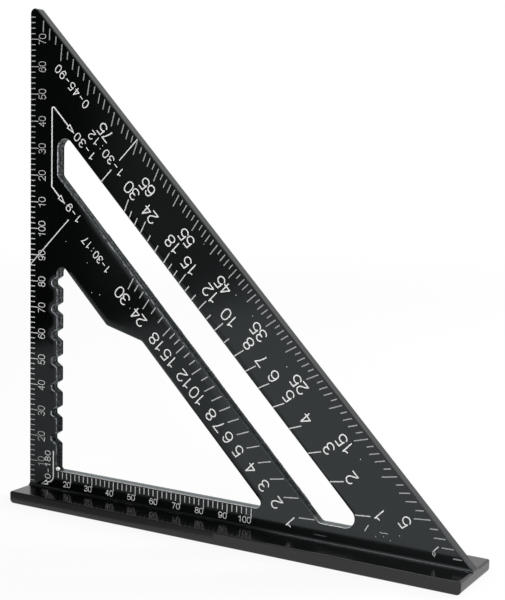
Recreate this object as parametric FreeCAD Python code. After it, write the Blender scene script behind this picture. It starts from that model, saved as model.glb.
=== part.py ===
import FreeCAD, Part
import math
import os

# All sizes are in millimetres. Places on the blade are given from the pivot corner:
# x along the fence and z up from the fence's top face, so (0, 0) is where the ruler
# edge meets the fence. The marked face looks towards -Y.

# Body
leg = 184.0
blade_thickness = 3.8
fence_thickness = 4.6
ledge = 11.5

# Widths of the strips between the openings, square to the sloping edge
outer_strip = 22.8
slot_width = 13.1
inner_strip = 13.7
head_strip = 21.9

# Openings
ruler_web = 13.0
slot_floor = 6.5
window_floor = 7.5
step_x = 36.0
step_slope = math.radians(15)

# Scribing notches in the window's upright side
notch_pitch = 10.0
first_notch = 20.0
notch_mouth = 4.8
notch_bottom = 1.6
notch_depth = 2.6

# Corner radii
tip_radius = 2.0
slot_acute_radius = 3.5
slot_obtuse_radius = 2.0
apex_radius = 2.3
step_radius = 2.5
toe_radius = 2.0
window_corner_radius = 1.0
notch_radius = 0.8
root_radius = 0.7
root_lip = 0.1
fence_end_radius = 1.6
ledge_end_radius = 0.7
fence_edge_radius = 0.4
rim_radius = 0.35
edge_break = 0.2

# White print
print_thickness = 0.06
print_margin = 0.05
fine_line = 0.3
scale_line = 0.38
pen_line = 0.49
pivot_line = 0.44
head_line = 0.35

# Millimetre scales on the ruler edge and under the window
graduation = 2.0
numbered_every = 10.0
edge_short = 2.4
edge_long = 3.9
base_short = 2.8
base_long = 4.0

# Degree scale along the sloping edge, depths square to that edge
degree_gap = 0.8
degree_short = 3.0
degree_middle = 3.9
degree_long = 5.4
degree_first = 1
degree_last = 88

# Rafter scales on both sides of the slot, depths square to it
common_run = 12.0
hip_run = 12.0 * math.sqrt(2)
common_short = 2.9
common_long = 4.8
hip_short = 3.4
hip_long = 5.0
rise_steps = list(range(1, 19)) + list(range(20, 31, 2))
common_numbered = [1, 2, 3, 4, 5, 6, 7, 8, 10, 12, 15, 18, 24, 30]
hip_numbered = sorted(common_numbered + [9])

# Guide line square to the sloping edge, depths from that edge and from the slot
guide_from_tip = 69.3
guide_gap_start = 11.3
guide_gap_end = 16.3
guide_after_slot = 7.6

# Bracket with two arrows round the slot's upper end
bracket_side_gap = 2.7
bracket_upper_gap = 3.4
bracket_lower_gap = 4.8
bracket_bend_radius = 0.6
upper_arm = 14.6
lower_arm = 9.0
head_length = 3.9
head_width = 2.2

# Bent arrow that points at the pivot corner
pivot_arrow_side_gap = 1.4
pivot_arrow_top = 14.8
pivot_bend_radius = 2.5
pivot_bend_height = 5.0
pivot_bend_turn = math.radians(70)
pivot_lead = 1.3
pivot_head_length = 3.4
pivot_head_width = 2.1

# Worked out from the values above
diagonal = math.sqrt(2)
front = -blade_thickness / 2
back = blade_thickness / 2
slot_upper = leg - outer_strip * diagonal
slot_lower = slot_upper - slot_width * diagonal
window_upper = slot_lower - head_strip * diagonal
window_lower = slot_lower - inner_strip * diagonal
foot_half = blade_thickness / 2 + root_radius
fence_half = blade_thickness / 2 + ledge
seat_depth = 2 * ledge_end_radius
print_inset = edge_break + print_margin
rim_inset = rim_radius + print_margin


def blade_point(x, z, y=0.0):
    """Point at x along the fence and z above its top face."""
    return FreeCAD.Vector(x - leg / 2, y, z + fence_thickness)


def tangent_length(before, corner, after, radius):
    """Distance from a corner to where its rounding meets the straight sides."""
    angle = (before - corner).getAngle(after - corner)
    return radius / math.tan(angle / 2)


def corner_arc(before, corner, after, radius):
    """Start, middle and end of the arc that rounds a corner."""
    back_along = (before - corner).normalize()
    out_along = (after - corner).normalize()
    reach = tangent_length(before, corner, after, radius)
    inward = (back_along + out_along).normalize()
    centre = corner + inward * math.hypot(reach, radius)
    return corner + back_along * reach, centre - inward * radius, corner + out_along * reach


def rounded_face(corners, y):
    """Face through (x, z, radius) corners in the plane y."""
    points = [blade_point(x, z, y) for x, z, _ in corners]
    arcs = []
    for i, corner in enumerate(corners):
        after = points[(i + 1) % len(points)]
        arcs.append(corner_arc(points[i - 1], points[i], after, corner[2]))
    edges = []
    for i, (start, middle, end) in enumerate(arcs):
        if corners[i][2] > 0:
            edges.append(Part.Arc(start, middle, end).toShape())
        following_start = arcs[(i + 1) % len(arcs)][0]
        edges.append(Part.makeLine(end, following_start))
    return Part.Face(Part.Wire(edges))


def plate(corners, y_low, y_high):
    """Solid between two planes of constant y, with rounded corners."""
    return rounded_face(corners, y_low).extrude(FreeCAD.Vector(0, y_high - y_low, 0))


def blade_corners(tip):
    """Triangle of the blade, with its upper corner rounded."""
    return [(0, 0, 0), (leg, 0, 0), (0, leg, tip)]


def slot_corners():
    """Long slot parallel to the sloping edge."""
    return [
        (ruler_web, slot_lower - ruler_web, slot_obtuse_radius),
        (ruler_web, slot_upper - ruler_web, slot_acute_radius),
        (slot_upper - slot_floor, slot_floor, slot_acute_radius),
        (slot_lower - slot_floor, slot_floor, slot_obtuse_radius),
    ]


def notch_corners(height):
    """One scribing notch, from its lower lip to its upper lip."""
    bottom_x = ruler_web - notch_depth
    return [
        (ruler_web, height - notch_mouth / 2, notch_radius),
        (bottom_x, height - notch_bottom / 2, notch_radius),
        (bottom_x, height + notch_bottom / 2, notch_radius),
        (ruler_web, height + notch_mouth / 2, notch_radius),
    ]


def notch_heights():
    """Heights of the notches that fit below the rounding of the window's apex."""
    apex = window_upper - ruler_web
    rounding = apex_radius / math.tan(math.radians(22.5))
    heights = []
    height = first_notch
    while height + notch_mouth / 2 + notch_radius < apex - rounding:
        heights.append(height)
        height += notch_pitch
    return heights


def window_corners():
    """Stepped triangular window with the notches in its upright side."""
    step_run = (window_lower - window_upper) / (1 - math.tan(step_slope))
    corners = [(ruler_web, window_floor, window_corner_radius)]
    for height in notch_heights():
        corners += notch_corners(height)
    corners += [
        (ruler_web, window_upper - ruler_web, apex_radius),
        (step_x, window_upper - step_x, step_radius),
        (step_x + step_run, window_lower - step_x - step_run, step_radius),
        (window_lower - window_floor, window_floor, toe_radius),
    ]
    return corners


def flat_side(solid, y):
    """Flat side of the blade that lies nearest the plane y."""
    sides = [face for face in solid.Faces if face.BoundBox.YLength < 1e-6]
    return min(sides, key=lambda face: abs(face.BoundBox.YMin - y))


def outline_edges(side):
    """Edges round the outside of a flat side, apart from the one at its foot."""
    return [edge for edge in side.OuterWire.Edges if edge.BoundBox.ZMax > fence_thickness + 1e-6]


def rim_edges(side):
    """Edges round the openings in a flat side."""
    rims = [wire for wire in side.Wires if not wire.isSame(side.OuterWire)]
    return [edge for wire in rims for edge in wire.Edges]


def make_foot():
    """Fillets that spread the blade's lower edge onto the fence."""
    top = root_lip + root_radius
    waist = blade_thickness / 2
    bend = root_radius / diagonal

    def at(y, z):
        return blade_point(0, z, y)

    wire = Part.Wire([
        Part.makeLine(at(-foot_half, 0), at(foot_half, 0)),
        Part.makeLine(at(foot_half, 0), at(foot_half, root_lip)),
        Part.Arc(at(foot_half, root_lip), at(foot_half - bend, top - bend), at(waist, top)).toShape(),
        Part.makeLine(at(waist, top), at(-waist, top)),
        Part.Arc(at(-waist, top), at(bend - foot_half, top - bend), at(-foot_half, root_lip)).toShape(),
        Part.makeLine(at(-foot_half, root_lip), at(-foot_half, 0)),
    ])
    strip = Part.Face(wire).extrude(FreeCAD.Vector(leg, 0, 0))
    return strip.common(plate(blade_corners(0), -foot_half, foot_half))


def make_blade():
    """Triangular blade with its slot, its notched window and its spread foot.

    The openings are punched from the marked side, which rounds their rims there and leaves
    them sharp behind.
    """
    blank = plate(blade_corners(tip_radius), front, back)
    blank = blank.cut(plate(slot_corners(), front, back))
    blank = blank.cut(plate(window_corners(), front, back))
    sharp = outline_edges(flat_side(blank, front)) + outline_edges(flat_side(blank, back))
    broken = blank.makeChamfer(edge_break, sharp)
    rolled = broken.makeFillet(rim_radius, rim_edges(flat_side(broken, front)))
    return rolled.fuse(make_foot()).removeSplitter()


def make_fence():
    """Flat bar that stands out on both sides of the blade; its ends stay square under the blade."""
    bar = plate([
        (0, -fence_thickness, fence_end_radius),
        (leg, -fence_thickness, fence_end_radius),
        (leg, 0, ledge_end_radius),
        (0, 0, ledge_end_radius),
    ], -fence_half, fence_half)
    long_edges = [edge for edge in bar.Edges if edge.BoundBox.YLength < 1e-6]
    bar = bar.makeFillet(fence_edge_radius, long_edges)
    seat = plate([
        (0, -seat_depth, 0),
        (leg, -seat_depth, 0),
        (leg, 0, 0),
        (0, 0, 0),
    ], -foot_half, foot_half)
    return bar.fuse(seat)


def print_layer(face):
    """Raise a thin layer of white on the marked side."""
    return face.extrude(FreeCAD.Vector(0, -print_thickness, 0))


def straight_mark(start, end, width):
    """Square-ended line between two (x, z) places."""
    run_x = end[0] - start[0]
    run_z = end[1] - start[1]
    length = math.hypot(run_x, run_z)
    side_x = -run_z / length * width / 2
    side_z = run_x / length * width / 2
    outline = [
        (start[0] + side_x, start[1] + side_z, 0),
        (start[0] - side_x, start[1] - side_z, 0),
        (end[0] - side_x, end[1] - side_z, 0),
        (end[0] + side_x, end[1] + side_z, 0),
    ]
    return print_layer(rounded_face(outline, front))


def radial_mark(angle, start_line, end_line, width):
    """Line aimed at the pivot, between two lines x + z that run along the slope."""
    share_x = math.cos(angle) / (math.cos(angle) + math.sin(angle))
    start = (start_line * share_x, start_line * (1 - share_x))
    end = (end_line * share_x, end_line * (1 - share_x))
    return straight_mark(start, end, width)


def pen_mark(start, end, width):
    """Round-ended line between two (x, z) places."""
    radius = width / 2
    run = blade_point(*end) - blade_point(*start)
    along = FreeCAD.Vector(run).normalize()
    side = FreeCAD.Vector(-along.z, 0, along.x) * radius
    low = blade_point(start[0], start[1], front)
    high = blade_point(end[0], end[1], front)
    wire = Part.Wire([
        Part.makeLine(low - side, high - side),
        Part.Arc(high - side, high + along * radius, high + side).toShape(),
        Part.makeLine(high + side, low + side),
        Part.Arc(low + side, low - along * radius, low - side).toShape(),
    ])
    return print_layer(Part.Face(wire))


def pen_path(points, width):
    """One solid from round-ended lines laid end to end."""
    marks = [pen_mark(points[i], points[i + 1], width) for i in range(len(points) - 1)]
    return marks[0].multiFuse(marks[1:]).removeSplitter()


def pen_bend(centre, radius, start, turn, width):
    """Curved line that starts at an angle from its centre and turns clockwise."""
    inner = radius - width / 2
    outer = radius + width / 2

    def at(reach, turned):
        angle = start - turned
        return blade_point(centre[0] + reach * math.cos(angle), centre[1] + reach * math.sin(angle), front)

    wire = Part.Wire([
        Part.Arc(at(outer, 0), at(outer, turn / 2), at(outer, turn)).toShape(),
        Part.makeLine(at(outer, turn), at(inner, turn)),
        Part.Arc(at(inner, turn), at(inner, turn / 2), at(inner, 0)).toShape(),
        Part.makeLine(at(inner, 0), at(outer, 0)),
    ])
    return print_layer(Part.Face(wire))


def arrow_head(base, angle, length, across, width):
    """Open three-cornered head that points along the angle from the middle of its base."""
    along_x = math.cos(angle)
    along_z = math.sin(angle)
    corners = [
        (base[0] + along_x * length, base[1] + along_z * length),
        (base[0] - along_z * across / 2, base[1] + along_x * across / 2),
        (base[0] + along_z * across / 2, base[1] - along_x * across / 2),
    ]
    inset = length * across / (2 * math.hypot(length, across / 2) + across)
    middle = (base[0] + along_x * inset, base[1] + along_z * inset)
    share = 1 - width / inset
    outline = []
    hollow = []
    for x, z in corners:
        outline.append((x, z, 0))
        hollow.append((middle[0] + share * (x - middle[0]), middle[1] + share * (z - middle[1]), 0))
    return print_layer(rounded_face(outline, front).cut(rounded_face(hollow, front)))


def make_edge_scale_ticks():
    """Millimetre scale up the ruler edge, as far as the tip leaves room."""
    ticks = []
    height = graduation
    while height < leg - edge_long - tip_radius / 2:
        length = edge_short if height % numbered_every else edge_long
        ticks.append(straight_mark((print_inset, height), (length, height), fine_line))
        height += graduation
    return Part.makeCompound(ticks)


def make_base_scale_ticks():
    """Millimetre scale under the window, from its corner to its last full ten before the toe."""
    ticks = []
    toe_x = window_lower - window_floor
    last = math.floor((toe_x - toe_radius) / numbered_every) * numbered_every
    x = math.ceil(ruler_web / graduation) * graduation
    while x <= last:
        depth = base_short if x % numbered_every else base_long
        top = (x, window_floor - rim_inset)
        ticks.append(straight_mark(top, (x, window_floor - depth), fine_line))
        x += graduation
    return Part.makeCompound(ticks)


def make_degree_scale_ticks():
    """One line to each degree along the sloping edge, longer at each half and each ten."""
    ticks = []
    for degree in range(degree_first, degree_last + 1):
        depth = {0: degree_long, 2: degree_middle, 3: degree_middle}.get(degree % 5, degree_short)
        outer = leg - degree_gap * diagonal
        inner = leg - depth * diagonal
        ticks.append(radial_mark(math.radians(degree), outer, inner, scale_line))
    return Part.makeCompound(ticks)


def rafter_ticks(run, rim, direction, numbered, short, long):
    """Lines at the angles of each rise on the given run, from one rim of the slot."""
    ticks = []
    for rise in rise_steps:
        depth = long if rise in numbered else short
        start = rim + direction * rim_inset * diagonal
        end = rim + direction * depth * diagonal
        ticks.append(radial_mark(math.atan(rise / run), start, end, scale_line))
    return Part.makeCompound(ticks)


def make_common_rafter_ticks():
    """Rises on a run of twelve, on the slot's outer side."""
    return rafter_ticks(common_run, slot_upper, 1, common_numbered, common_short, common_long)


def make_hip_valley_ticks():
    """Rises on the diagonal of that run, on the slot's inner side."""
    return rafter_ticks(hip_run, slot_lower, -1, hip_numbered, hip_short, hip_long)


def make_cut_guide_line():
    """Line square to the sloping edge, open round its numbers, across the slot and at the ticks."""
    rise = leg - guide_from_tip * diagonal

    def on_line(line):
        return ((line - rise) / 2, (line + rise) / 2)

    stretches = [
        (leg - print_inset * diagonal, leg - guide_gap_start * diagonal),
        (leg - guide_gap_end * diagonal, slot_upper + rim_inset * diagonal),
        (slot_lower - guide_after_slot * diagonal, rise + 2 * print_inset),
    ]
    line = Part.makeCompound([
        straight_mark(on_line(outer), on_line(inner), scale_line) for outer, inner in stretches
    ])
    for crossed in (make_edge_scale_ticks(), make_degree_scale_ticks(), make_common_rafter_ticks()):
        line = line.cut(crossed)
    return line


def make_cut_arrows():
    """Bracket round the slot's upper end, with an arrow down the slope on each side of the slot."""
    x = ruler_web - bracket_side_gap
    down_slope = math.radians(-45)

    def on_arm(corner, distance):
        return (corner[0] + distance / diagonal, corner[1] - distance / diagonal)

    upper_corner = (x, slot_upper + bracket_upper_gap * diagonal - x)
    lower_corner = (x, slot_lower - bracket_lower_gap * diagonal - x)
    upper_base = on_arm(upper_corner, upper_arm - head_length)
    lower_base = on_arm(lower_corner, lower_arm - head_length)
    reach = bracket_bend_radius / math.tan(math.radians(22.5))
    bend_start = (x, upper_corner[1] - reach)
    bend_centre = (x + bracket_bend_radius, bend_start[1])
    return pen_path([lower_base, lower_corner, bend_start], pen_line).multiFuse([
        pen_bend(bend_centre, bracket_bend_radius, math.pi, math.radians(135), pen_line),
        pen_mark(on_arm(upper_corner, reach), upper_base, pen_line),
        arrow_head(upper_base, down_slope, head_length, head_width, head_line),
        arrow_head(lower_base, down_slope, head_length, head_width, head_line),
    ]).removeSplitter()


def make_pivot_arrow():
    """Arrow that comes down beside the window and bends towards the pivot corner."""
    x = ruler_web - pivot_arrow_side_gap
    centre = (x - pivot_bend_radius, pivot_bend_height)
    bend_end = (
        centre[0] + pivot_bend_radius * math.cos(pivot_bend_turn),
        centre[1] - pivot_bend_radius * math.sin(pivot_bend_turn),
    )
    heading = -math.pi / 2 - pivot_bend_turn
    base = (
        bend_end[0] + pivot_lead * math.cos(heading),
        bend_end[1] + pivot_lead * math.sin(heading),
    )
    shaft = pen_mark((x, pivot_arrow_top), (x, pivot_bend_height), pivot_line)
    return shaft.multiFuse([
        pen_bend(centre, pivot_bend_radius, 0, pivot_bend_turn, pivot_line),
        pen_mark(bend_end, base, pivot_line),
        arrow_head(base, heading, pivot_head_length, pivot_head_width, head_line),
    ]).removeSplitter()


pieces = {
    "blade": make_blade,
    "fence": make_fence,
    "edge_scale_ticks": make_edge_scale_ticks,
    "base_scale_ticks": make_base_scale_ticks,
    "degree_scale_ticks": make_degree_scale_ticks,
    "common_rafter_ticks": make_common_rafter_ticks,
    "hip_valley_ticks": make_hip_valley_ticks,
    "cut_guide_line": make_cut_guide_line,
    "cut_arrows": make_cut_arrows,
    "pivot_arrow": make_pivot_arrow,
}

os.makedirs("parts", exist_ok=True)
for node, make in pieces.items():
    shape = make()
    shape.exportStep("parts/" + node + ".step")
    print(node, len(shape.Solids), "solids", round(shape.Volume, 3), "mm3")
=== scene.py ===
import math

import bmesh
import bpy
import numpy as np
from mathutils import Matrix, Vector


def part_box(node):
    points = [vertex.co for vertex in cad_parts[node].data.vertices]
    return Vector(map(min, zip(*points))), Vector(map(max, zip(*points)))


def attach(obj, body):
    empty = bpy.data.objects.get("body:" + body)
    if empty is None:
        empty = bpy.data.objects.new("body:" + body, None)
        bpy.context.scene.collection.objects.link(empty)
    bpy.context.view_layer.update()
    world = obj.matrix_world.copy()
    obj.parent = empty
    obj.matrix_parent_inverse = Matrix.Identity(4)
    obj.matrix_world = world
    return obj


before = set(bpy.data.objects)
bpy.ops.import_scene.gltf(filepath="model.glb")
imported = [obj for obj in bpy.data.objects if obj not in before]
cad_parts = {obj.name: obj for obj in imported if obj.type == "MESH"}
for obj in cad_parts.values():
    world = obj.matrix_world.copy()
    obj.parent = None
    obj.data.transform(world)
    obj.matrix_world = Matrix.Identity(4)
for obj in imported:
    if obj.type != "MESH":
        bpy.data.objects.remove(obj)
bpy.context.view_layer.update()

MM = 0.001
# The sine and the cosine of 45 degrees.
DIAGONAL = math.sqrt(0.5)

# The square's own corner: x runs along the fence from here, z up the ruler edge.
ink_low, ink_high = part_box("edge_scale_ticks")
blade_low, blade_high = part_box("blade")
_, fence_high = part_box("fence")
PRINT_HEIGHT = ink_high.y - ink_low.y
CORNER = Vector((blade_low.x, ink_high.y, fence_high.z))
LEG = blade_high.x - blade_low.x
# The slot's two sides, in millimetres out from the corner.
SLOT_LOW, SLOT_HIGH = 94.21, 107.31


def at_x(gap):
    """x at that many millimetres from the ruler edge."""
    return CORNER.x + gap * MM


def at_z(gap):
    """z at that many millimetres above the fence."""
    return CORNER.z + gap * MM


class Nodes:
    """A node tree, with short calls to add and join nodes."""

    def __init__(self, owner, place=("ShaderNodeNewGeometry", "Position")):
        owner.use_nodes = True
        self.tree = owner.node_tree
        self.shader = self.tree.nodes.get("Principled BSDF")
        self.place = self.add(place[0]).outputs[place[1]]

    def add(self, kind, **settings):
        node = self.tree.nodes.new(kind)
        for name, value in settings.items():
            setattr(node, name, value)
        return node

    def feed(self, socket, value):
        """Joins the socket to another node's, or sets it to a plain value."""
        if isinstance(value, bpy.types.NodeSocket):
            self.tree.links.new(value, socket)
        elif value is not None:
            socket.default_value = value

    def parts(self, vector):
        """The x, y and z of a vector."""
        node = self.add("ShaderNodeSeparateXYZ")
        self.feed(node.inputs[0], vector)
        return node.outputs

    def vector(self, operation, a, b=None, scale=None):
        node = self.add("ShaderNodeVectorMath", operation=operation)
        self.feed(node.inputs[0], a)
        self.feed(node.inputs[1], b)
        if operation == "SCALE":
            self.feed(node.inputs["Scale"], scale)
        return node.outputs["Value" if operation in ("DOT_PRODUCT", "LENGTH") else "Vector"]

    def math(self, operation, a, b=None, c=None, clamp=False):
        node = self.add("ShaderNodeMath", operation=operation, use_clamp=clamp)
        for socket, value in zip(node.inputs, (a, b, c)):
            self.feed(socket, value)
        return node.outputs[0]

    def product(self, share, *others):
        """All the shares multiplied together."""
        for other in others:
            share = self.math("MULTIPLY", share, other)
        return share

    def rest(self, share):
        """What a share leaves of one."""
        return self.math("SUBTRACT", 1.0, share)

    def scaled(self, scale, turn=(0.0, 0.0, 0.0)):
        """The place, stretched so that a noise runs along or across something."""
        node = self.add("ShaderNodeMapping")
        self.feed(node.inputs["Vector"], self.place)
        node.inputs["Rotation"].default_value = turn
        node.inputs["Scale"].default_value = scale
        return node.outputs[0]

    def noise(self, scale, detail=2.0, rough=0.5, where=None):
        node = self.add("ShaderNodeTexNoise")
        self.feed(node.inputs["Vector"], where or self.place)
        node.inputs["Scale"].default_value = scale
        node.inputs["Detail"].default_value = detail
        node.inputs["Roughness"].default_value = rough
        return node.outputs["Fac"]

    def ramp(self, value, low, high, to_low=0.0, to_high=1.0):
        """Goes smoothly from to_low to to_high while the value goes from low to high."""
        node = self.add("ShaderNodeMapRange", interpolation_type="SMOOTHSTEP")
        for socket, part in zip(node.inputs, (value, low, high, to_low, to_high)):
            self.feed(socket, part)
        return node.outputs[0]

    def blend(self, share, a, b):
        node = self.add("ShaderNodeMix", data_type="RGBA")
        self.feed(node.inputs[0], share)
        for socket, value in zip((node.inputs[6], node.inputs[7]), (a, b)):
            self.feed(socket, value)
        return node.outputs[2]

    def layered(self, colour, *layers):
        """The colour with others laid over it in turn, each by its own share."""
        for share, other in layers:
            colour = self.blend(share, colour, other)
        return colour

    def bevel(self, radius):
        """The surface's direction, with its edges rounded."""
        node = self.add("ShaderNodeBevel", samples=8)
        node.inputs["Radius"].default_value = radius
        return node.outputs[0]

    def bump(self, height, distance, onto=None):
        node = self.add("ShaderNodeBump")
        node.inputs["Strength"].default_value = 1.0
        node.inputs["Distance"].default_value = distance
        self.feed(node.inputs["Height"], height)
        if onto is not None:
            self.feed(node.inputs["Normal"], onto)
        return node.outputs[0]


def tinted(value, green=0.0):
    """A grey, or one with that share more green and less red."""
    return (value * (1 - green), value * (1 + green), value, 1.0)


# Colours of the metal and its finish.
COAT_DEEP, COAT_THIN = tinted(0.0004, 0.1), tinted(0.0011, 0.1)
TEAR_DARK, TEAR_PALE = tinted(0.002), tinted(0.05)
# Dark of the smooth bands, also used as painted shade on the walls towards the toe.
SMOOTH_DARK_AND_SHADE = tinted(0.0015)
# Painted light on the walls towards the tip.
TIP_LIGHT_GREY = tinted(0.15)
GLINT, CHIPPED_GLINT = tinted(0.22), (0.21, 0.26, 0.32, 1.0)
# The window's sill: painted light on its front, painted shade further in.
SILL_FAR_SHADE, SILL_FRONT_LIT = (0.062, 0.05, 0.047, 1.0), (0.187, 0.175, 0.17, 1.0)
# Bare metal of worn rims and of the painted sheen near the tip, and bare metal painted lighter
# where rims face up, a painted highlight.
BARE, BARE_LEVEL_LIT = (0.55, 0.59, 0.64, 1.0), (0.86, 0.83, 0.82, 1.0)
# Pale of dust and scratches, and of the painted highlight along the slot.
DUST_AND_HIGHLIGHT = tinted(0.5)

# Depths of the relief, in metres.
PEEL_DEPTH = 1.2e-6
DRAWN_DEPTH = 1.0e-6
TEAR_DEPTH = 1.8e-4
INK_DEPTH = 6.0e-6


class Finish(Nodes):
    """The black finish's tree, with what its parts share about a point on the metal."""

    def __init__(self, material):
        super().__init__(material)
        self.true = self.add("ShaderNodeNewGeometry").outputs["True Normal"]
        self.facing = self.parts(self.true)
        self.x, self.y, self.z = self.parts(self.place)
        # slope grows on the way out from the corner, and climb on the way up the sloping edge,
        # from 0 on the line through the corner. Both grow 1.41 times as fast as the distance.
        self.slope = self.math("ADD", self.x, self.z)
        self.climb = self.math("ADD", self.math("SUBTRACT", self.z, self.x), CORNER.x - CORNER.z)
        self.inside = self.openings()
        wall = self.ramp(self.math("ABSOLUTE", self.facing["Y"]), 0.25, 0.5, 1.0, 0.0)
        self.punched = self.product(wall, self.inside)
        # The tear runs across the punched walls.
        self.torn = self.noise(1.0, 3.0, 0.6, self.scaled((1100, 300, 1100)))
        self.grain = self.noise(1700.0, 2.0, 0.6)
        self.cloud = self.noise(28.0, 3.0)
        self.rounded = self.bevel(0.25 * MM)
        self.chipped = self.chipped_rims()
        self.level_rim, self.sill = self.level_rims()

    def openings(self, border=4):
        """Where the openings are: inside the outline's border and above the fence."""
        slope_edge = CORNER.x + CORNER.z + LEG
        return self.product(
            self.math("GREATER_THAN", self.x, at_x(border)),
            self.math("LESS_THAN", self.slope, slope_edge - border * MM),
            self.math("GREATER_THAN", self.z, at_z(border)),
        )

    def chipped_rims(self):
        """Where rims are chipped: at the notches, and towards the slot's upper end."""
        notches = self.product(self.ramp(self.x, at_x(13.1), at_x(12.7)), self.inside)
        slot_end = self.product(
            self.ramp(self.z, at_z(100), at_z(125)),
            self.ramp(self.x, at_x(30), at_x(18)),
        )
        return self.math("MAXIMUM", notches, slot_end)

    def level_rims(self):
        """Walls and rims that face up, less so above the window's sill, and the sill itself, where
        light from above is painted on.
        """
        level = self.product(
            self.ramp(self.facing["Z"], 0.5, 0.8),
            self.ramp(self.x, at_x(14), at_x(16)),
        )
        sill = self.product(level, self.ramp(self.z, at_z(9), at_z(8)))
        return self.math("MAXIMUM", self.product(level, 0.45), sill), sill

    def specks(self):
        """Sparse pale specks of dust and fine scratches."""
        dots = self.add("ShaderNodeTexVoronoi")
        self.feed(dots.inputs["Vector"], self.place)
        dots.inputs["Scale"].default_value = 150.0
        pick = self.add("ShaderNodeSeparateColor")
        self.feed(pick.inputs[0], dots.outputs["Color"])
        speck = self.product(
            self.ramp(dots.outputs["Distance"], 0.03, 0.06, 1.0, 0.0),
            self.math("GREATER_THAN", pick.outputs[0], 0.99),
        )
        lines = self.noise(1.0, 0.0, 0.5, self.scaled((60, 60, 1100), (0, 0.5, 0)))
        scratch = self.product(
            self.ramp(lines, 0.82, 0.84),
            self.ramp(self.noise(90.0), 0.6, 0.66),
            0.25,
        )
        return self.math("MAXIMUM", speck, scratch, clamp=True)

    def slot_line(self):
        """A painted highlight: a pale line along the slot's lower side, clearer towards its upper
        end.
        """
        side = CORNER.x + CORNER.z + SLOT_LOW / DIAGONAL * MM
        off = self.math("ABSOLUTE", self.math("SUBTRACT", self.slope, side))
        return self.product(
            self.ramp(off, 0.25 * MM, 0.5 * MM, 0.8, 0.0),
            self.ramp(self.climb, -60 * MM, 55 * MM),
            self.ramp(self.climb, 67 * MM, 65 * MM),
            self.ramp(self.noise(520.0, 3.0, 0.7), 0.44, 0.54),
            self.ramp(self.y, -1.7 * MM, -1.3 * MM, 1.0, 0.0),
        )

    def bare_metal(self, rubbed):
        """Where edges are rubbed and the openings' rims worn down to the metal, with a painted
        sheen along the edges near the tip and painted light on the rims that face up.
        """
        edge = self.ramp(self.vector("DOT_PRODUCT", self.rounded, self.true), 0.99, 0.85)
        patches = self.ramp(self.noise(230.0, 4.0, 0.7), 0.52, 0.7)
        # A painted sheen of bare metal along the edges, stronger near the tip.
        sheen_near_tip = self.ramp(self.z, at_z(85), at_z(130), 0.0, 0.22)
        rub_and_sheen = self.math(
            "MAXIMUM",
            self.product(edge, patches, rubbed),
            self.product(edge, sheen_near_tip),
        )
        rim = self.product(
            self.inside,
            self.ramp(self.facing["Y"], -0.97, -0.85),
            self.ramp(self.facing["Y"], -0.3, -0.1, 1.0, 0.0),
        )
        chips = self.ramp(self.noise(520.0, 4.0, 0.7), 0.42, 0.54)
        # Painted light: the rims that face up get a highlight of bare metal, brighter towards the
        # front.
        level_light = self.product(
            self.ramp(self.cloud, 0.2, 0.6, 0.85, 1.0),
            self.ramp(self.y, -0.9 * MM, -0.2 * MM, 1.15, 0.8),
        )
        worn = self.math(
            "MAXIMUM",
            self.product(self.chipped, chips),
            self.product(self.level_rim, level_light),
        )
        return self.math("MAXIMUM", rub_and_sheen, self.product(rim, worn, 0.85), clamp=True)

    def drawn_down(self):
        """The marked face's direction. The punch drew it down beside the openings, though not
        round the window's apex, along the fence or near the slot's upper end."""
        apex = (at_x(14), 0, at_z(88))
        from_apex = self.vector("LENGTH", self.vector("SUBTRACT", self.place, apex))
        share = self.product(
            self.ramp(self.facing["Y"], -0.99, -0.97, 0.9, 0.0),
            self.inside,
            self.ramp(self.z, at_z(112), at_z(98)),
            self.ramp(self.z, at_z(9), at_z(13)),
            self.ramp(from_apex, 4 * MM, 8 * MM),
            self.ramp(self.x, at_x(12), at_x(16), 0.6, 1.0),
        )
        leaning = self.vector("SUBTRACT", self.bevel(3.2 * MM), self.rounded)
        leaning = self.vector("SCALE", leaning, scale=share)
        return self.vector("NORMALIZE", self.vector("ADD", self.rounded, leaning))

    def wall_depth(self):
        """y on a punched wall, made uneven by the tear."""
        return self.math("ADD", self.y, self.product(self.math("SUBTRACT", self.torn, 0.5), MM))

    def smooth_bands(self, depth):
        """Two smooth dark bands along a punched wall, broken into dashes: burnished, and darkened
        in part by painted shade.
        """
        front_band = self.product(
            self.ramp(depth, -1.2 * MM, -0.9 * MM),
            self.ramp(depth, -0.5 * MM, -0.2 * MM, 1.0, 0.0),
        )
        far_band = self.ramp(depth, 0.7 * MM, 1.0 * MM)
        dashes = self.noise(1.0, 2.0, 0.6, self.scaled((700, 250, 700)))
        bands = self.math("MAXIMUM", front_band, far_band)
        return self.product(bands, self.ramp(dashes, 0.38, 0.46, 0.3, 1.0), 0.95)

    def wall_colour(self, depth, smooth):
        """A grey tear with glints, darkened by painted shade towards the toe and made paler by
        painted light towards the tip.
        """
        glint = self.product(
            self.ramp(self.grain, 0.56, 0.66),
            self.ramp(self.noise(160.0), 0.45, 0.6, 0.25, 0.8),
        )
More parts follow.
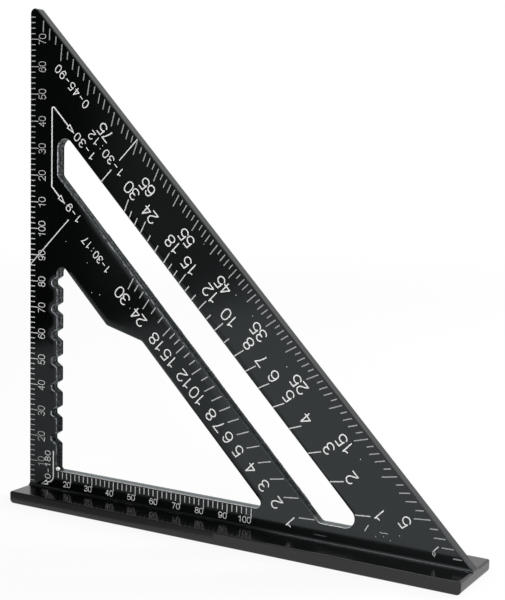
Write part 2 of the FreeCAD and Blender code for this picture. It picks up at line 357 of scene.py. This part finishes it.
        # Painted shade on the walls towards the toe, and painted light towards the tip.
        shade_towards_toe = self.product(
            self.ramp(self.climb, -50 * MM, 55 * MM, 0.55, 0.0),
            self.rest(self.level_rim),
        )
        light_towards_tip = self.ramp(self.climb, 10 * MM, 45 * MM, 0.0, 0.85)
        mottle = self.ramp(self.noise(800.0, 3.0, 0.7), 0.45, 0.55, 0.0, 0.85)
        front = self.ramp(depth, -0.9 * MM, -0.2 * MM, 1.0, 0.0)
        return self.layered(
            self.blend(self.ramp(self.torn, 0.46, 0.58), TEAR_DARK, TEAR_PALE),
            (glint, self.blend(self.chipped, GLINT, CHIPPED_GLINT)),
            (shade_towards_toe, SMOOTH_DARK_AND_SHADE),
            (light_towards_tip, TIP_LIGHT_GREY),
            (mottle, TEAR_DARK),
            # The smooth bands' dark colour is partly painted shade.
            (smooth, SMOOTH_DARK_AND_SHADE),
            # Painted light and shade on the sill: lighter at its front, darker further in.
            (self.product(self.sill, 0.85), self.blend(front, SILL_FAR_SHADE, SILL_FRONT_LIT)),
        )

    def roughness(self, low, high, tear, metal, pale):
        """The finish's own, from low to high, and more on torn, bare and pale places."""
        total = self.ramp(self.cloud, 0.25, 0.75, low, high)
        torn_share = self.math("MULTIPLY_ADD", self.level_rim, -0.35, 0.55)
        total = self.math("ADD", total, self.product(tear, torn_share))
        total = self.math("ADD", total, self.product(metal, 0.25))
        return self.math("ADD", total, self.product(pale, 0.3), clamp=True)

    def relief(self, tear):
        """A little orange peel and lines from drawing the bar, and the punched walls' tear."""
        peel = self.noise(420.0, 2.0)
        drawn = self.noise(1.0, 3.0, 0.6, self.scaled((25, 900, 2600)))
        height = self.math("ADD", self.torn, self.product(self.grain, 0.5))
        soft = self.bump(peel, PEEL_DEPTH, self.drawn_down())
        lined = self.bump(drawn, DRAWN_DEPTH, soft)
        return self.bump(self.product(height, tear), TEAR_DEPTH, lined)


def aluminium(name, low, high, tint, rubbed, brushed=0.0):
    """Glossy black finish, torn on the punched walls, bare where the rims are worn.

    Its roughness goes from low to high, and rubbed is how far its edges are worn.
    """
    material = bpy.data.materials.new(name)
    n = Finish(material)
    depth = n.wall_depth()
    smooth = n.smooth_bands(depth)
    tear = n.product(n.punched, n.rest(smooth))
    # metal holds worn bare metal, the painted sheen near the tip and the painted light on level
    # rims.
    metal = n.bare_metal(rubbed)
    # pale holds dust, scratches and the painted highlight along the slot.
    pale = n.math("MAXIMUM", n.specks(), n.slot_line())
    colour = n.layered(
        n.blend(n.cloud, COAT_DEEP, COAT_THIN),
        (n.punched, n.wall_colour(depth, smooth)),
        (metal, n.blend(n.level_rim, BARE, BARE_LEVEL_LIT)),
        (n.product(pale, 0.6), DUST_AND_HIGHLIGHT),
    )
    metallic = n.math("MAXIMUM", n.product(metal, 0.7), n.product(n.punched, 0.9))
    n.feed(n.shader.inputs["Base Color"], colour)
    n.feed(n.shader.inputs["Metallic"], n.product(metallic, n.rest(pale)))
    n.feed(n.shader.inputs["Roughness"], n.roughness(low, high, tear, metal, pale))
    n.feed(n.shader.inputs["Normal"], n.relief(tear))
    n.shader.inputs["IOR"].default_value = 1.52
    n.shader.inputs["Specular Tint"].default_value = tint
    if brushed:
        n.feed(n.shader.inputs["Tangent"], n.vector("CROSS_PRODUCT", n.true, (1.0, 0.02, 0.02)))
        n.shader.inputs["Anisotropic"].default_value = brushed
    return material


def ink(name, dimming):
    """White screen print, thin in places, with pinholes where it has been rubbed off."""
    material = bpy.data.materials.new(name)
    n = Nodes(material)
    x, _, z = n.parts(n.place)
    thin = n.noise(350.0, 3.0, 0.6)
    patch = n.noise(45.0, 2.0)
    hole = n.product(n.ramp(n.noise(2300.0, 2.0), 0.66, 0.72), n.ramp(patch, 0.5, 0.62), 0.45)
    # The ruler edge's print is darker at its foot and at its head.
    foot = n.ramp(z, at_z(5), at_z(70), 0.62, 0.0)
    head = n.ramp(z, at_z(100), at_z(132), 0.15, 0.58)
    ruler = n.ramp(x, at_x(6.8), at_x(7.4), 1.0, 0.0)
    dimmed = n.math("MAXIMUM", n.product(n.math("ADD", foot, head), ruler), dimming)
    colour = n.layered(
        n.blend(thin, tinted(0.80), tinted(0.98)),
        (hole, tinted(0.06)),
        (dimmed, tinted(0.14)),
    )
    n.feed(n.shader.inputs["Base Color"], colour)
    n.feed(n.shader.inputs["Roughness"], n.ramp(patch, 0.3, 0.7, 0.5, 0.65))
    n.feed(n.shader.inputs["Normal"], n.bump(thin, INK_DEPTH))
    return material


black = aluminium("black_finish", 0.09, 0.13, (0.86, 0.97, 1.0, 1.0), rubbed=0.30)
drawn_black = aluminium(
    "drawn_black_finish", 0.11, 0.14, (0.98, 0.98, 1.0, 1.0), rubbed=0.08, brushed=1.0
)
# dimming darkens a whole scale's print by that share.
white = ink("white_ink", dimming=0.0)
finishes = {
    "blade": black,
    "fence": drawn_black,
    "degree_scale_ticks": ink("degree_ink", dimming=0.68),
    "hip_valley_ticks": ink("hip_valley_ink", dimming=0.5),
    "common_rafter_ticks": ink("common_rafter_ink", dimming=0.3),
    "base_scale_ticks": ink("base_scale_ink", dimming=0.22),
}
for node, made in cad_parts.items():
    made.data.materials.clear()
    made.data.materials.append(finishes.get(node, white))


def arc(cx, cy, rx, ry, start, end, count=20):
    """Points along an ellipse, with the angles in degrees."""
    turn = np.radians(np.linspace(start, end, count))
    return [(cx + rx * math.cos(a), cy + ry * math.sin(a)) for a in turn]


def curve(*points, count=12):
    """Points along a quadratic curve from the first point to the last, bent by the middle one."""
    a, b, c = (np.array(p) for p in points)
    t = np.linspace(0, 1, count)[:, None]
    return [tuple(p) for p in (1 - t) ** 2 * a + 2 * t * (1 - t) * b + t**2 * c]


def oval(cx, cy, rx, ry, square=2.0, count=49):
    """Points round an ellipse, or round a squarer shape where square is above 2."""
    turn = np.linspace(0, 2 * math.pi, count)
    c, s = np.cos(turn), np.sin(turn)
    bend = 2 / square
    x = cx + rx * np.sign(c) * np.abs(c) ** bend
    y = cy + ry * np.sign(s) * np.abs(s) ** bend
    return list(zip(x, y))


SIX = [
    arc(0.53, 0.66, 0.42, 0.34, 22, 150) + curve((0.15, 0.80), (0.0, 0.62), (0.0, 0.31)),
    oval(0.5, 0.31, 0.5, 0.31),
]
# Each character's pen strokes, between 0 and 1 across and up.
STROKES = {
    "0": [oval(0.5, 0.5, 0.5, 0.5, 2.35)],
    "1": [[(0.60, 0.0), (0.60, 1.0)], curve((0.60, 0.98), (0.50, 0.79), (0.10, 0.79))],
    "2": [
        arc(0.49, 0.71, 0.47, 0.29, 172, -30)
        + curve((0.85, 0.50), (0.60, 0.34), (0.30, 0.22))
        + [(0.0, 0.0), (1.0, 0.0)],
    ],
    "3": [
        arc(0.48, 0.75, 0.44, 0.25, 160, -80) + [(0.38, 0.525)],
        [(0.38, 0.525)] + arc(0.5, 0.265, 0.5, 0.265, 85, -165),
    ],
    "4": [[(0.72, 0.0), (0.72, 1.0), (0.0, 0.29), (1.0, 0.29)]],
    "5": [[(0.90, 1.0), (0.20, 1.0), (0.09, 0.46)], arc(0.49, 0.31, 0.51, 0.31, 145, -162)],
    "6": SIX,
    "7": [[(0.0, 1.0)] + curve((1.0, 1.0), (0.52, 0.58), (0.32, 0.0))],
    "8": [oval(0.5, 0.76, 0.43, 0.24), oval(0.5, 0.26, 0.5, 0.26)],
    "9": [[(1 - x, 1 - y) for x, y in stroke] for stroke in SIX],
    "-": [[(0.15, 0.42), (0.85, 0.42)]],
    ":": [[(0.5, 0.18), (0.5, 0.2)], [(0.5, 0.68), (0.5, 0.7)]],
}

FAR, TINY = 1e9, 1e-9


def distance(x, y, strokes):
    """Least distance of each grid point from the strokes."""
    nearest = np.full(x.shape, FAR)
    for stroke in strokes:
        for (ax, ay), (bx, by) in zip(stroke, stroke[1:]):
            dx, dy = bx - ax, by - ay
            t = ((x - ax) * dx + (y - ay) * dy) / max(dx * dx + dy * dy, TINY)
            t = np.clip(t, 0, 1)
            nearest = np.minimum(nearest, np.hypot(x - ax - t * dx, y - ay - t * dy))
    return nearest


def crossed_edges(sign):
    """For each grid edge that an outline crosses, the next one that it crosses."""
    mixed = np.logical_or.reduce([
        sign[:-1, :-1] != sign[1:, :-1],
        sign[:-1, :-1] != sign[:-1, 1:],
        sign[1:, 1:] != sign[1:, :-1],
    ])
    follows = {}
    for i, j in np.argwhere(mixed):
        ring = [(i, j), (i + 1, j), (i + 1, j + 1), (i, j + 1)]
        leaving = [k for k in range(4) if sign[ring[k]] and not sign[ring[(k + 1) % 4]]]
        entering = [k for k in range(4) if not sign[ring[k]] and sign[ring[(k + 1) % 4]]]
        for k in leaving:
            other = min(entering, key=lambda m: (m - k) % 4)
            pair = [tuple(sorted((ring[m], ring[(m + 1) % 4]))) for m in (k, other)]
            follows[pair[0]] = pair[1]
    return follows


def outlines(strokes, pen, cell):
    """Closed outlines round pen strokes, followed across a grid of cells."""
    points = np.array([p for stroke in strokes for p in stroke])
    low, high = points.min(0) - pen, points.max(0) + pen
    xs = np.arange(low[0], high[0] + cell, cell)
    ys = np.arange(low[1], high[1] + cell, cell)
    field = distance(*np.meshgrid(xs, ys, indexing="ij"), strokes) - pen / 2
    field[np.abs(field) < TINY] = TINY

    def crossing(a, b):
        share = field[a] / (field[a] - field[b])
        pa, pb = (np.array((xs[i], ys[j])) for i, j in (a, b))
        return tuple(pa + share * (pb - pa))

    follows = crossed_edges(field < 0)
    loops = []
    while follows:
        first, edge = follows.popitem()
        loop = [first]
        while edge != first:
            loop.append(edge)
            edge = follows.pop(edge)
        loops.append(thinned([crossing(*e) for e in loop], 0.012 * cell))
    return loops


def thinned(loop, slack):
    """A closed loop without the points that lie within slack of their neighbours' line."""
    loop = [np.array(p) for p in loop]
    going = True
    while going and len(loop) > 8:
        going, kept, k = False, [], 0
        while k < len(loop):
            a, b, c = loop[k - 1], loop[k], loop[(k + 1) % len(loop)]
            span = c - a
            off = abs(span[0] * (b - a)[1] - span[1] * (b - a)[0]) / max(np.hypot(*span), TINY)
            if off < slack and k + 1 < len(loop):
                kept.append(c)
                k += 2
                going = True
            else:
                kept.append(b)
                k += 1
        loop = kept
        # Each pass is stricter, so that small slips don't add up.
        slack *= 0.6
    return loop


def in_order(corners, faces):
    """The same corners and faces, sorted, because bmesh's own order varies from run to run."""
    order = np.lexsort(corners.T)
    rank = np.argsort(order)
    return corners[order], sorted([int(rank[i]) for i in face] for face in faces)


def slab(loops, thickness):
    """Corners and faces of a flat plate inside the loops, from 0 down to -thickness."""
    shape = bmesh.new()
    for loop in loops:
        ring = [shape.verts.new((x, 0, y)) for x, y in loop]
        for a, b in zip(ring, ring[1:] + ring[:1]):
            shape.edges.new((a, b))
    bmesh.ops.triangle_fill(shape, edges=shape.edges[:], use_beauty=True, normal=(0, -1, 0))
    top = bmesh.ops.extrude_face_region(shape, geom=shape.faces[:])
    moved = [v for v in top["geom"] if isinstance(v, bmesh.types.BMVert)]
    bmesh.ops.translate(shape, verts=moved, vec=(0, -thickness, 0))
    bmesh.ops.recalc_face_normals(shape, faces=shape.faces[:])
    shape.verts.index_update()
    corners = np.array([v.co for v in shape.verts])
    faces = [[v.index for v in f.verts] for f in shape.faces]
    shape.free()
    return in_order(corners, faces)


glyphs = {}


def glyph(letter, height, width, pen):
    """One character's plate in millimetres, centred on its cell."""
    key = (letter, height, width, pen)
    if key not in glyphs:
        wide, tall = width - pen, height - pen
        strokes = [
            [((x - 0.5) * wide, (y - 0.5) * tall) for x, y in stroke]
            for stroke in STROKES[letter]
        ]
        glyphs[key] = slab(outlines(strokes, pen, pen / 5), PRINT_HEIGHT / MM)
    return glyphs[key]


class Printer:
    """Collects shapes in millimetres from the corner and makes them one piece."""

    def __init__(self, name):
        self.name = name
        self.corners, self.faces = [], []

    def put(self, corners, faces, right, up, x, z):
        """Lays a shape made in the x-z plane down with its own right and up."""
        first = sum(len(c) for c in self.corners)
        turned = np.zeros_like(corners)
        turned[:, 0] = corners[:, 0] * right[0] + corners[:, 2] * up[0] + x
        turned[:, 1] = corners[:, 1]
        turned[:, 2] = corners[:, 0] * right[1] + corners[:, 2] * up[1] + z
        self.corners.append(turned)
        self.faces += [[first + i for i in face] for face in faces]

    def text(self, text, x, z, right, up, height, width, pen, pitch):
        """Sets numbers with their middle at x, z, one to each pitch."""
        for k, letter in enumerate(text):
            corners, faces = glyph(letter, height, width, pen)
            along = (k - (len(text) - 1) / 2) * pitch
            self.put(corners, faces, right, up, x + along * right[0], z + along * right[1])

    def finish(self, surface=white):
        co = np.array(CORNER) + np.concatenate(self.corners) * MM
        mesh = bpy.data.meshes.new(self.name)
        mesh.from_pydata(co.tolist(), [], self.faces)
        mesh.validate()
        mesh.materials.append(surface)
        made = bpy.data.objects.new(self.name, mesh)
        bpy.context.scene.collection.objects.link(made)
        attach(made, "root")
        return made


RIGHT, UP = (1.0, 0.0), (0.0, 1.0)
LEFT = (-1.0, 0.0)
CLIMB = (-DIAGONAL, DIAGONAL)
TO_CORNER = (-DIAGONAL, -DIAGONAL)


def diagonal(across, along):
    """x and z of a point that far out from the corner and up along the sloping edge."""
    return (across - along) * DIAGONAL, (across + along) * DIAGONAL


# The size, pen and pitch of the numbers, in millimetres.
EDGE_TYPE = {"height": 3.3, "width": 1.85, "pen": 0.25, "pitch": 2.05}
BASE_TYPE = {"height": 2.3, "width": 1.6, "pen": 0.20, "pitch": 1.85}
ROW_TYPE = {"height": 4.7, "width": 3.3, "pen": 0.43, "pitch": 3.45}
PIVOT_TYPE = {"height": 2.7, "width": 1.85, "pen": 0.21, "pitch": 2.3}
HEADING_PEN = 0.34
# The rows' distance from the ruler edge and from the fence.
EDGE_ROW, BASE_ROW = 5.65, 2.65
# How far a base number's middle stands before its line, by its count of digits.
BASE_SHIFT = {2: 1.85, 3: 2.75}
# The middle of the numbers beside the pivot arrow.
PIVOT_X, PIVOT_Z = 8.85, 9.2

# The ruler edge counts to 100 and then from 10 again.
edge_numbers = Printer("edge_scale_numbers")
for value in range(10, 180, 10):
    text = str(value if value <= 100 else value - 100)
    edge_numbers.text(text, EDGE_ROW, value, UP, LEFT, **EDGE_TYPE)
edge_numbers.finish()

# Each number of the base scale ends just before its line.
base_numbers = Printer("base_scale_numbers")
for value in range(20, 110, 10):
    text = str(value)
    base_numbers.text(text, value - BASE_SHIFT[len(text)], BASE_ROW, RIGHT, UP, **BASE_TYPE)
base_numbers.finish()

# Each number's middle along the slope, in millimetres from the line through the corner.
DEGREES = {
    75: 72.4, 65: 45.7, 55: 21.6, 45: -0.45, 35: -21.5, 25: -44.9, 15: -70.7, 5: -103.7,
}
COMMON = {
    30: 49.4, 24: 38.1, 18: 23.7, 15: 13.6, 12: 0.8, 10: -10.4, 8: -22.0,
    7: -29.5, 6: -36.6, 5: -45.4, 4: -55.4, 3: -68.2, 2: -80.9, 1: -96.5,
}
HIP_VALLEY = {
    30: 24.7, 24: 14.4, 18: 2.7, 15: -4.95, 12: -14.6, 10: -22.3, 8: -30.8,
    7: -35.9, 6: -41.1, 5: -47.3, 4: -54.9, 3: -62.6, 2: -70.15, 1: -78.45,
}
for name, across, middles in (
    ("degree_numbers", 121.15, DEGREES),
    ("common_rafter_numbers", 115.25, COMMON),
    ("hip_valley_numbers", 85.5, HIP_VALLEY),
):
    row = Printer(name)
    for value, along in middles.items():
        row.text(str(value), *diagonal(across, along), CLIMB, TO_CORNER, **ROW_TYPE)
    row.finish()

# Plain numbers where the heading of each scale stands: their middle out from the corner and
# along the slope, then their height, width and pitch.
HEADINGS = (
    ("0-45-90", 121.9, 94.5, 3.4, 2.3, 2.95),
    ("1-30:12", 116.1, 66.6, 3.4, 2.4, 3.05),
    ("1-30", 110.9, 75.0, 3.4, 2.4, 3.15),
    ("1-9", 90.0, 61.0, 3.4, 2.4, 2.85),
    ("1-30:17", 87.0, 43.2, 3.2, 2.0, 2.38),
)
headings = Printer("heading_numbers")
for text, across, along, height, width, pitch in HEADINGS:
    x, z = diagonal(across, along)
    headings.text(text, x, z, CLIMB, TO_CORNER, height, width, HEADING_PEN, pitch)
headings.text("0-180", PIVOT_X, PIVOT_Z, UP, LEFT, **PIVOT_TYPE)
headings.finish()


def drop(depth, radius, flatness=0.8, rings=12, steps=20):
    """A bead of ink in millimetres, a little flattened and uneven."""
    flat = radius * flatness
    corners, faces = [(0, depth - flat, 0)], []
    for i in range(1, rings):
        down = math.pi * i / rings
        for k in range(steps):
            turn = 2 * math.pi * k / steps
            swell = radius * (1 + 0.05 * math.sin(2 * turn + 1.0) + 0.03 * math.sin(3 * turn))
            corners.append((
                swell * math.sin(down) * math.cos(turn),
                depth - flat * math.cos(down),
                swell * math.sin(down) * math.sin(turn),
            ))
    corners.append((0, depth + flat, 0))
    last = len(corners) - 1
    for k in range(steps):
        after = (k + 1) % steps
        faces.append((0, 1 + k, 1 + after))
        faces.append((last, last - steps + after, last - steps + k))
        for i in range(rings - 2):
            ring = 1 + i * steps
            faces.append((ring + k, ring + steps + k, ring + steps + after, ring + after))
    return np.array(corners), faces


# A bead of the white ink in the window's lower corner.
BEAD_X, BEAD_Z = 13.76, 8.2
bead = Printer("ink_bead")
bead.put(*drop(depth=0.1, radius=0.86), RIGHT, UP, BEAD_X, BEAD_Z)
for polygon in bead.finish().data.polygons:
    polygon.use_smooth = True

# The slot's sides: out from the corner, which way the lip leans, and both ends along it.
SLOT_SIDES = ((SLOT_LOW, 1.0, -78.0, 47.0), (SLOT_HIGH, -1.0, -90.0, 66.0))
LIP = 0.34


def burr(side, outwards, start, end, step=0.3):
    """The torn lip that the punch left along the far rim of one side of the slot."""
    count = int((end - start) / step) + 1
    along = np.linspace(start, end, count)
    chance = np.random.default_rng(7)
    slow = np.interp(along, along[::12], chance.uniform(0.4, 1.0, len(along[::12])))
    lip = LIP * slow * chance.uniform(0.45, 1.0, count)
    lip[0] = lip[-1] = 0.02
    corners = []
    for u, h in zip(along, lip):
        # Across the lip, how far it stands out of the wall and how far behind the marked face.
        for off, deep in ((-0.15, 2.8), (0.25 * h, 3.3), (h, 3.77), (-0.15, 3.79)):
            x, z = diagonal(side + outwards * off, u)
            corners.append((x, deep, z))
    faces = [(3, 2, 1, 0), tuple(4 * (count - 1) + k for k in range(4))]
    for i in range(count - 1):
        for k in range(4):
            a, b = 4 * i + k, 4 * i + (k + 1) % 4
            faces.append((a, b, b + 4, a + 4))
    if outwards < 0:
        faces = [face[::-1] for face in faces]
    return np.array(corners), faces


lips = Printer("slot_burr")
for side in SLOT_SIDES:
    lips.put(*burr(*side), RIGHT, UP, 0, 0)
lips.finish(black)

# Worn remains of print beside the toe: the stroke's points, its pen and its own origin.
REMAINS = (
    (((144.5, 7.0), (145.7, 9.0)), 0.26, 145, 8),
    (((171.3, 6.1), (170.5, 5.4), (169.8, 4.5), (169.4, 4.0)), 0.30, 170, 5),
    (((169.7, 4.4), (169.3, 3.7), (169.6, 3.1), (170.1, 2.6)), 0.20, 170, 3.5),
    (((169.7, 4.4), (170.3, 3.8), (170.3, 3.2), (170.0, 2.7)), 0.17, 170, 3.5),
    (((150.0, 7.3), (153.0, 7.3)), 0.12, 151, 7),
)
# Flecks of ink that the screen let through: their place and size.
FLECKS = (
    (91.5, 82.5, 0.34), (98.5, 75.8, 0.26), (77.8, 99.3, 0.26), (141.8, 31.3, 0.30),
    (112.5, 59.5, 0.26), (42.2, 78.0, 0.34), (29.2, 77.8, 0.26), (32.8, 77.4, 0.30),
    (46.5, 73.5, 0.26), (17.0, 96.0, 0.26), (27.0, 88.8, 0.28), (148.6, 5.6, 0.22),
    (151.5, 6.2, 0.24), (154.0, 5.2, 0.22), (157.3, 7.4, 0.24),
)
FLECK_PEN = 0.85
WORN_HEIGHT = 0.6


def worn_stroke(printer, points, pen, x, z):
    """A thin pen stroke, worn to less than the print's full height."""
    loops = outlines([[(px - x, pz - z) for px, pz in points]], pen, pen / 5)
    corners, faces = slab(loops, WORN_HEIGHT * PRINT_HEIGHT / MM)
    printer.put(corners, faces, RIGHT, UP, x, z)


worn_print = Printer("worn_print")
for points, pen, x, z in REMAINS:
    worn_stroke(worn_print, points, pen, x, z)
for x, z, size in FLECKS:
    worn_stroke(worn_print, ((x - 0.05, z), (x + 0.05, z + 0.03)), FLECK_PEN * size, x, z)
worn_print.finish()


def stage_sheet(name, corners, material):
    """A flat four-cornered sheet of the studio."""
    mesh = bpy.data.meshes.new(name)
    mesh.from_pydata(corners, [], [(0, 1, 2, 3)])
    mesh.materials.append(material)
    made = bpy.data.objects.new(name, mesh)
    bpy.context.scene.collection.objects.link(made)
    return made


def seen(n, by_camera=1.0, by_gloss=1.0):
    """How far a ray sees plain white: the camera's own, through glass too, and those off gloss."""
    path = n.add("ShaderNodeLightPath")
    total = n.math("MULTIPLY", path.outputs["Is Camera Ray"], by_camera)
    total = n.math("MULTIPLY_ADD", path.outputs["Is Glossy Ray"], by_gloss, total)
    return n.math("MULTIPLY_ADD", path.outputs["Is Transmission Ray"], by_camera, total, clamp=True)


def shown(n, share, plain, bright, output="Material Output"):
    """Mixes the plain shader and the bright one by share and shows the result."""
    mix = n.add("ShaderNodeMixShader")
    for socket, part in zip(mix.inputs, (share, plain.outputs[0], bright.outputs[0])):
        n.feed(socket, part)
    n.feed(n.tree.nodes[output].inputs["Surface"], mix.outputs[0])


def floor_paper():
    """White paper that keeps a soft shadow near the square and goes plain white further out."""
    paper = bpy.data.materials.new("floor_paper")
    n = Nodes(paper)
    n.shader.inputs["Base Color"].default_value = (0.9, 0.9, 0.9, 1)
    n.shader.inputs["Roughness"].default_value = 0.9
    n.shader.inputs["Specular IOR Level"].default_value = 0.0
    reach = n.vector("LENGTH", n.place)
    white_share = n.ramp(reach, 0.35, 1.2, 0.88, 1.0)
    mirrored_share = n.ramp(reach, 0.06, 0.34, 0.9, 0.7)
    shown(n, seen(n, white_share, mirrored_share), n.shader, n.add("ShaderNodeEmission"))
    return paper


def studio():
    """Even white light from all round, and a white background that is dimmer above."""
    world = bpy.data.worlds.new("studio")
    n = Nodes(world, ("ShaderNodeTexCoord", "Generated"))
    ambient = n.tree.nodes["Background"]
    ambient.inputs["Color"].default_value = (1, 1, 1, 1)
    ambient.inputs["Strength"].default_value = 0.5
    backdrop = n.add("ShaderNodeBackground")
    backdrop.inputs["Color"].default_value = (1, 1, 1, 1)
    upwards = n.parts(n.place)["Z"]
    n.feed(backdrop.inputs["Strength"], n.ramp(upwards, 0.66, 0.80, 1.0, 0.15))
    shown(n, seen(n), ambient, backdrop, "World Output")
    return world


# How bright the flag is at each distance along it, in metres before the blade.
FLAG_FADE = (
    (0.32, 0.03), (0.345, 0.14), (0.38, 0.22), (0.50, 0.22), (0.60, 0.4), (1.0, 1.0),
)


def flag_cloth():
    """A glowing sheet that paints reflections: dark, fading to white, its foot dimmer at the near
    end, brighter further on.
    """
    cloth = bpy.data.materials.new("flag_cloth")
    n = Nodes(cloth)
    _, y, z = n.parts(n.place)
    fade = n.add("ShaderNodeValToRGB")
    n.feed(fade.inputs[0], n.math("MULTIPLY", y, -1.0))
    stops = fade.color_ramp.elements
    for place, value in FLAG_FADE:
        stop = stops.new(place)
        stop.color = (value, value, value, 1)
    # The ramp comes with a stop of its own at each end.
    stops.remove(stops[0])
    stops.remove(stops[-1])
    near_foot = n.ramp(z, 0.01, 0.0575, 0.25, 1.0)
    far_foot = n.ramp(z, 0.03, 0.0, 1.0, 2.2)
    foot = n.blend(n.ramp(y, -0.42, -0.46), near_foot, far_foot)
    glow = n.add("ShaderNodeEmission")
    n.feed(glow.inputs["Color"], fade.outputs["Color"])
    n.feed(glow.inputs["Strength"], foot)
    n.feed(n.tree.nodes["Material Output"].inputs["Surface"], glow.outputs[0])
    return cloth


def card_grey():
    """A grey glow from the card's upper side, brighter to the right and dimmer by the fence: a
    painted shadow of the square on the table, deepest by the fence.
    """
    grey = bpy.data.materials.new("card_grey")
    n = Nodes(grey)
    glow = n.add("ShaderNodeEmission")
    across = n.vector("DOT_PRODUCT", n.place, (0.82, -0.57, 0))
    shadow_near_fence = n.ramp(n.parts(n.place)["Y"], -0.045, -0.02, 1.0, 0.6)
    strength = n.product(n.ramp(across, -0.09, -0.01, 0.46, 0.6), shadow_near_fence)
    n.feed(glow.inputs["Strength"], strength)
    behind = n.add("ShaderNodeNewGeometry").outputs["Backfacing"]
    shown(n, behind, glow, n.add("ShaderNodeBsdfTransparent"))
    return grey


FLOOR = ((-6, -6, 0), (6, -6, 0), (6, 6, 0), (-6, 6, 0))
FLAG = ((-0.31, -0.16, 0), (-0.31, -3, 0), (-0.31, -3, 3), (-0.31, -0.16, 3))
CARD = (
    (-0.004, -0.0195, 0.0005), (-0.04, -0.0168, 0.0005),
    (-0.31, -0.0168, 0.0005), (-0.31, -0.46, 0.0005),
)
stage_sheet("floor", FLOOR, floor_paper())
bpy.context.scene.world = studio()

# A dark flag beside the table, which only gloss shows: a glowing sheet of painted reflections.
flag = stage_sheet("flag", FLAG, flag_cloth())
flag.visible_camera = flag.visible_diffuse = flag.visible_shadow = False
flag.visible_transmission = flag.visible_volume_scatter = False

# A grey card on the table before the ruler edge, which the camera doesn't see: a glowing sheet that
# paints the square's shadow on the table into reflections and into the light bounced onto the
# square.
card = stage_sheet("card", CARD, card_grey())
card.visible_camera = card.visible_shadow = card.visible_transmission = False
card.visible_volume_scatter = False


def lamp(name, at, towards, size, power):
    """A round lamp that shines from one place towards another."""
    data = bpy.data.lights.new(name, "AREA")
    data.shape, data.size, data.energy = "DISK", size, power
    made = bpy.data.objects.new(name, data)
    made.location = at
    made.rotation_mode = "QUATERNION"
    made.rotation_quaternion = (Vector(towards) - Vector(at)).to_track_quat("-Z", "Y")
    bpy.context.scene.collection.objects.link(made)
    return made


lamp("overhead", (-0.27, -0.10, 0.85), (0, 0, 0.05), size=0.30, power=1.2)
lamp("side", (0.55, -0.55, 0.35), (0, 0, 0.08), size=0.35, power=2.4)
back = lamp("back", (0.60, 0.70, 0.40), (0, 0, 0.05), size=0.30, power=8.0)
back.visible_glossy = False

# The camera's place, turn and lens were fitted to the scales in the photograph.
camera = bpy.data.objects.new("camera", bpy.data.cameras.new("camera"))
bpy.context.scene.collection.objects.link(camera)
camera.location = (0.225526, -0.377718, 0.143606)
camera.rotation_euler = (1.426654, -0.035143, 0.475718)
camera.data.lens = 75.987
camera.data.shift_x, camera.data.shift_y = -0.12, 0.03
camera.data.clip_start = 0.01
bpy.context.scene.camera = camera

bpy.context.scene.view_settings.view_transform = "Standard"
